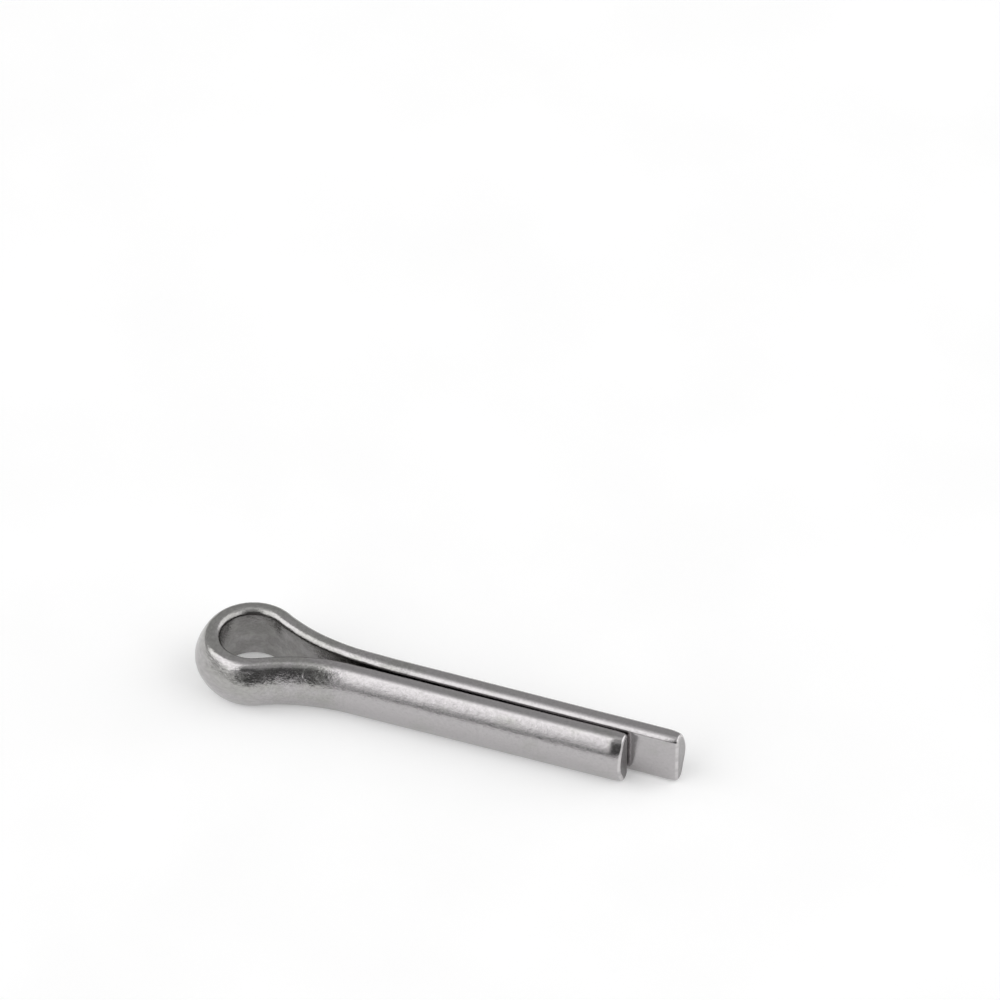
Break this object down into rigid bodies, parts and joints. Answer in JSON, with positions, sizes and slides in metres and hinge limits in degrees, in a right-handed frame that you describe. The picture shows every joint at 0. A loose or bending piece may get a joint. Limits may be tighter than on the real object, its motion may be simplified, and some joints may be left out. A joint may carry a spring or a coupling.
{
  "type": "split cotter pin",
  "caption": "Split cotter pin of D-section wire: a round eye and parallel legs, one longer, for locking a shaft or castle nut through a cross hole.",
  "frame": {"origin": "on the shank's axis, where the long leg starts to run straight behind the eye", "axes": "+X along the legs to their tips, +Y from the short leg to the long one, +Z along the eye's axis"},
  "size_m": [0.0393, 0.009, 0.0046],
  "materials": {
    "bright_wire": "bright drawn stainless wire, satin, with fine lines along its length"
  },
  "bodies": {
    "root": {"split_pin": "bright_wire"}
  },
  "joints": []
}
